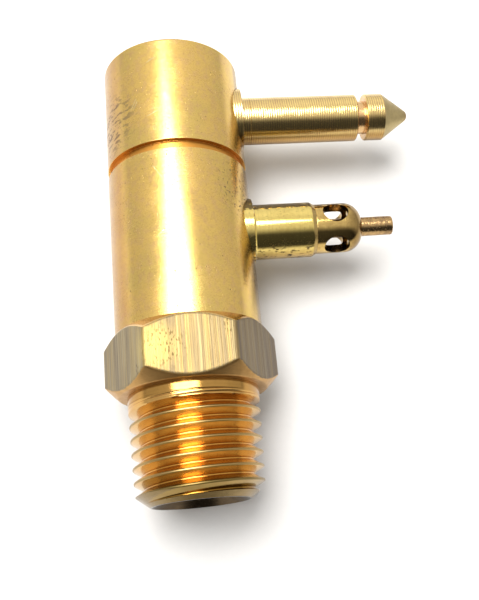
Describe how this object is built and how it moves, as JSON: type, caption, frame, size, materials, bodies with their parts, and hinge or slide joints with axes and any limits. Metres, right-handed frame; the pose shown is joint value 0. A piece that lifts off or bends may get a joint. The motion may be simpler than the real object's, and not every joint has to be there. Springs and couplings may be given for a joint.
{
  "type": "quick connect fuel fitting",
  "caption": "Brass twin-prong male quick-connect fitting: hex body with tapered male thread, grooved guide pin, and valve prong with a sprung stem.",
  "frame": {"origin": "centre of the threaded end, on the body's axis, where the inlet bore's mouth opens", "axes": "-Y out of the threaded end along the body's axis; +X along both prongs, from the body to their tips; Z across two flats of the hexagon, and the part lies on its -Z flat"},
  "size_m": [0.0374, 0.0498, 0.0158],
  "materials": {
    "body_brass": "satin turned",
    "pin_brass": "fine turned",
    "sleeve_brass": "polished, lightly tarnished",
    "cage_brass": "polished, lightly tarnished",
    "stem_brass": "drawn, rough",
    "poppet_brass": "turned",
    "seal_rubber": "matte moulded",
    "spring_steel": "drawn stainless wire"
  },
  "bodies": {
    "fitting": {"body": "body_brass", "guide_pin": "pin_brass", "nozzle_sleeve": "sleeve_brass", "valve_cage": "cage_brass", "valve_spring": "spring_steel"},
    "valve": {"valve_stem": "stem_brass", "valve_poppet": "poppet_brass", "valve_seal": "seal_rubber"}
  },
  "joints": [
    {"name": "valve_slide", "type": "slide", "parent": "fitting", "child": "valve", "axis": [-1, 0, 0], "range_m": [0, 0.0025], "stiffness_N_per_m": 770, "springref_m": -0.0012, "deforming": ["valve_spring"]}
  ]
}
